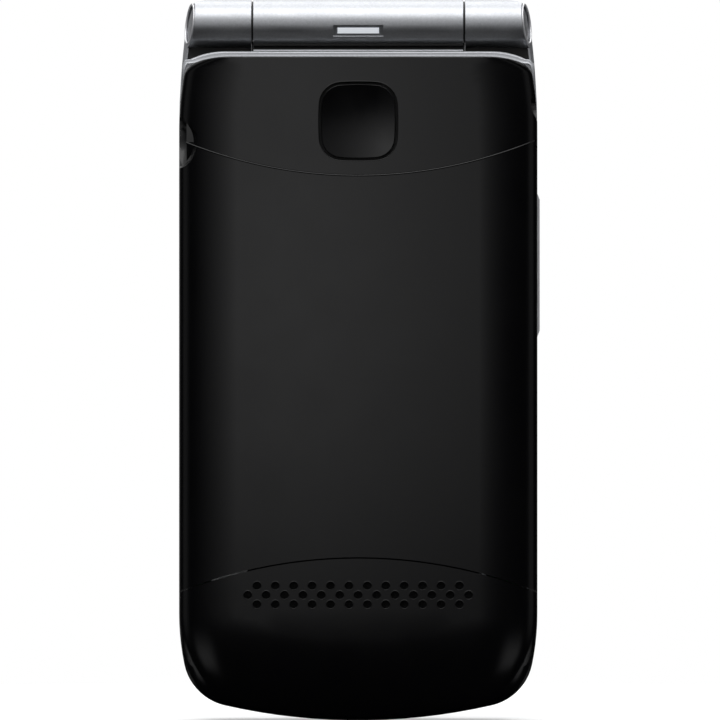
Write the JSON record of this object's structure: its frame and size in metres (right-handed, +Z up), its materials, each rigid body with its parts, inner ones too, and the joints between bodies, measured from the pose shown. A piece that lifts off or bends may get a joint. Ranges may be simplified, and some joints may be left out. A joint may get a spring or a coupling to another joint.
{
  "type": "flip phone",
  "caption": "Clamshell phone, closed: pillowed black rear with a lift-off battery door, silver frame, barrel hinge with a light bar, keypad and displays inside.",
  "frame": {"origin": "centre of the bottom of the closed phone's bounding box", "axes": "+Z up the closed phone to its hinge, -Y out of the battery door (the pictured back), +Y out of the lid, +X to the right as seen from the back"},
  "size_m": [0.053, 0.0186, 0.106],
  "materials": {
    "black_gloss": "polished black moulding",
    "button_satin": "satin black moulding",
    "silver_paint": "satin silver paint",
    "bezel_black": "semi-gloss black",
    "key_black": "satin keycap",
    "silicone": "matt silicone",
    "spring_steel": "bright",
    "board_green": "solder mask",
    "tin_plate": "tin plate",
    "screw_steel": "zinc plated",
    "contact_gold": "gold plated",
    "battery_wrap": "printed film",
    "moulded_black": "glass-filled moulding",
    "mesh_cloth": "woven dust mesh",
    "clear_lens": "clear hard-coated plastic",
    "light_diffuser": "opal diffuser",
    "display_panel": "unlit panel",
    "flex_film": "polyimide film"
  },
  "bodies": {
    "base": {"base_rear_shell": "black_gloss", "base_front_frame": "silver_paint", "keypad_bezel": "bezel_black", "key_mat": "silicone", "switch_domes": "spring_steel", "main_board": "board_green", "shield_cans": "tin_plate", "card_sockets": "tin_plate", "battery_contacts": "contact_gold", "battery_pack": "battery_wrap", "usb_port": "tin_plate", "headset_jack": "moulded_black", "loudspeaker": "moulded_black", "speaker_mesh": "mesh_cloth", "vibration_motor": "screw_steel", "microphone": "tin_plate", "antenna": "moulded_black", "light_bar_lens": "light_diffuser", "light_bar_board": "board_green", "side_switches": "tin_plate", "base_screws": "screw_steel", "hinge_bush": "screw_steel", "hinge_can": "screw_steel"},
    "lid": {"lid_frame": "silver_paint", "lid_outer_shell": "black_gloss", "lid_bezel": "bezel_black", "main_lens": "clear_lens", "main_display": "display_panel", "outer_lens": "clear_lens", "outer_display": "display_panel", "camera_ring": "silver_paint", "camera_module": "moulded_black", "earpiece": "moulded_black", "lid_board": "board_green", "display_flex": "flex_film", "hinge_shaft": "screw_steel", "hinge_end_caps": "silver_paint", "lid_bumpers": "silicone", "lid_screws": "screw_steel"},
    "battery_door": {"battery_door": "black_gloss"},
    "emergency_button": {"emergency_button": "button_satin"},
    "volume_rocker": {"volume_rocker": "silver_paint"},
    "nav_rocker": {"nav_rocker": "silver_paint"},
    "ok_key": {"ok_key": "key_black"},
    "soft_key_left": {"soft_key_left": "key_black"},
    "soft_key_right": {"soft_key_right": "key_black"},
    "call_key": {"call_key": "key_black"},
    "end_key": {"end_key": "key_black"},
    "key_1": {"key_1": "key_black"},
    "key_2": {"key_2": "key_black"},
    "key_3": {"key_3": "key_black"},
    "key_4": {"key_4": "key_black"},
    "key_5": {"key_5": "key_black"},
    "key_6": {"key_6": "key_black"},
    "key_7": {"key_7": "key_black"},
    "key_8": {"key_8": "key_black"},
    "key_9": {"key_9": "key_black"},
    "key_star": {"key_star": "key_black"},
    "key_0": {"key_0": "key_black"},
    "key_hash": {"key_hash": "key_black"}
  },
  "joints": [
    {"name": "clamshell_hinge", "type": "hinge", "parent": "base", "child": "lid", "pos_m": [0, 0.00125, 0.1025], "axis": [1, 0, 0], "range_deg": [0, 160]},
    {"name": "battery_door_lift", "type": "slide", "parent": "base", "child": "battery_door", "axis": [0, -1, 0], "range_m": [0, 0.02]},
    {"name": "emergency_button_press", "type": "slide", "parent": "base", "child": "emergency_button", "axis": [0, 1, 0], "range_m": [0, 0.0003], "stiffness_N_per_m": 1600},
    {"name": "volume_rocker_tilt", "type": "hinge", "parent": "base", "child": "volume_rocker", "pos_m": [0.02392, -0.0033, 0.0669], "axis": [0, 1, 0], "range_deg": [-1.5, 1.5], "stiffness_Nm_per_rad": 0.4},
    {"name": "nav_rocker_tilt", "type": "hinge", "parent": "base", "child": "nav_rocker", "pos_m": [0, 0, 0.0786], "axis": [1, 0, 0], "range_deg": [-2.5, 2.5], "stiffness_Nm_per_rad": 0.25},
    {"name": "ok_key_press", "type": "slide", "parent": "base", "child": "ok_key", "axis": [0, -1, 0], "range_m": [0, 0.00035], "stiffness_N_per_m": 1600},
    {"name": "soft_key_left_press", "type": "slide", "parent": "base", "child": "soft_key_left", "axis": [0, -1, 0], "range_m": [0, 0.00035], "stiffness_N_per_m": 1600},
    {"name": "soft_key_right_press", "type": "slide", "parent": "base", "child": "soft_key_right", "axis": [0, -1, 0], "range_m": [0, 0.00035], "stiffness_N_per_m": 1600},
    {"name": "call_key_press", "type": "slide", "parent": "base", "child": "call_key", "axis": [0, -1, 0], "range_m": [0, 0.00035], "stiffness_N_per_m": 1600},
    {"name": "end_key_press", "type": "slide", "parent": "base", "child": "end_key", "axis": [0, -1, 0], "range_m": [0, 0.00035], "stiffness_N_per_m": 1600},
    {"name": "key_1_press", "type": "slide", "parent": "base", "child": "key_1", "axis": [0, -1, 0], "range_m": [0, 0.00035], "stiffness_N_per_m": 1600},
    {"name": "key_2_press", "type": "slide", "parent": "base", "child": "key_2", "axis": [0, -1, 0], "range_m": [0, 0.00035], "stiffness_N_per_m": 1600},
    {"name": "key_3_press", "type": "slide", "parent": "base", "child": "key_3", "axis": [0, -1, 0], "range_m": [0, 0.00035], "stiffness_N_per_m": 1600},
    {"name": "key_4_press", "type": "slide", "parent": "base", "child": "key_4", "axis": [0, -1, 0], "range_m": [0, 0.00035], "stiffness_N_per_m": 1600},
    {"name": "key_5_press", "type": "slide", "parent": "base", "child": "key_5", "axis": [0, -1, 0], "range_m": [0, 0.00035], "stiffness_N_per_m": 1600},
    {"name": "key_6_press", "type": "slide", "parent": "base", "child": "key_6", "axis": [0, -1, 0], "range_m": [0, 0.00035], "stiffness_N_per_m": 1600},
    {"name": "key_7_press", "type": "slide", "parent": "base", "child": "key_7", "axis": [0, -1, 0], "range_m": [0, 0.00035], "stiffness_N_per_m": 1600},
    {"name": "key_8_press", "type": "slide", "parent": "base", "child": "key_8", "axis": [0, -1, 0], "range_m": [0, 0.00035], "stiffness_N_per_m": 1600},
    {"name": "key_9_press", "type": "slide", "parent": "base", "child": "key_9", "axis": [0, -1, 0], "range_m": [0, 0.00035], "stiffness_N_per_m": 1600},
    {"name": "key_star_press", "type": "slide", "parent": "base", "child": "key_star", "axis": [0, -1, 0], "range_m": [0, 0.00035], "stiffness_N_per_m": 1600},
    {"name": "key_0_press", "type": "slide", "parent": "base", "child": "key_0", "axis": [0, -1, 0], "range_m": [0, 0.00035], "stiffness_N_per_m": 1600},
    {"name": "key_hash_press", "type": "slide", "parent": "base", "child": "key_hash", "axis": [0, -1, 0], "range_m": [0, 0.00035], "stiffness_N_per_m": 1600}
  ]
}
